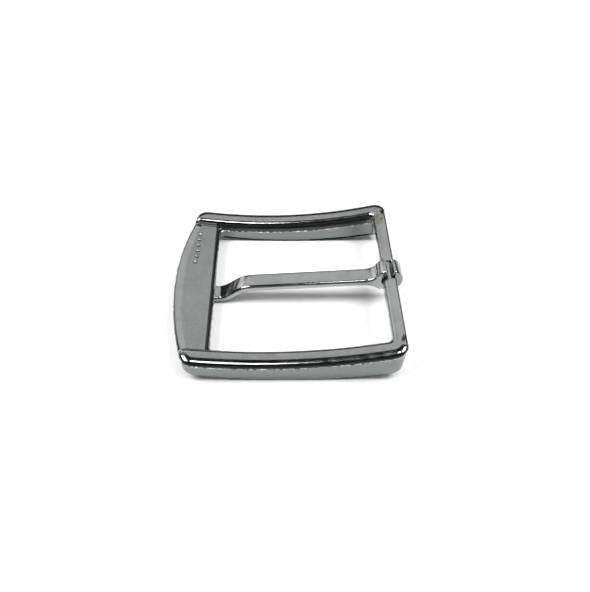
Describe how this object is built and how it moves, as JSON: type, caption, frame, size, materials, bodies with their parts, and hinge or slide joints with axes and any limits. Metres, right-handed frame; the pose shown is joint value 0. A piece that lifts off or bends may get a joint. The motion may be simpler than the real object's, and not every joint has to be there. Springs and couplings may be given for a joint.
{
  "type": "belt buckle",
  "caption": "Pin buckle for a dress belt: an arched rectangular frame with a wide bowed front bar and a flat prong that swings on the neck of its crossbar.",
  "frame": {"origin": "centre of the buckle's outline at the level of the arched front's lowest line, back up", "axes": "+X along the belt from the front bar towards the crossbar, +Y across the strap, +Z out of the buckle's back"},
  "size_m": [0.049, 0.045, 0.0102],
  "materials": {
    "frame_chrome": "bright plating on a die casting: polished sides and rounded edges, satin back",
    "prong_chrome": "bright plating on a bent strip, lightly brushed flat faces"
  },
  "bodies": {
    "frame": {"frame": "frame_chrome"},
    "prong": {"prong": "prong_chrome"}
  },
  "joints": [
    {"name": "prong_hinge", "type": "hinge", "parent": "frame", "child": "prong", "pos_m": [0.02152, 0, 0.00727], "axis": [0, 1, 0], "range_deg": [-353.5, 0]}
  ]
}
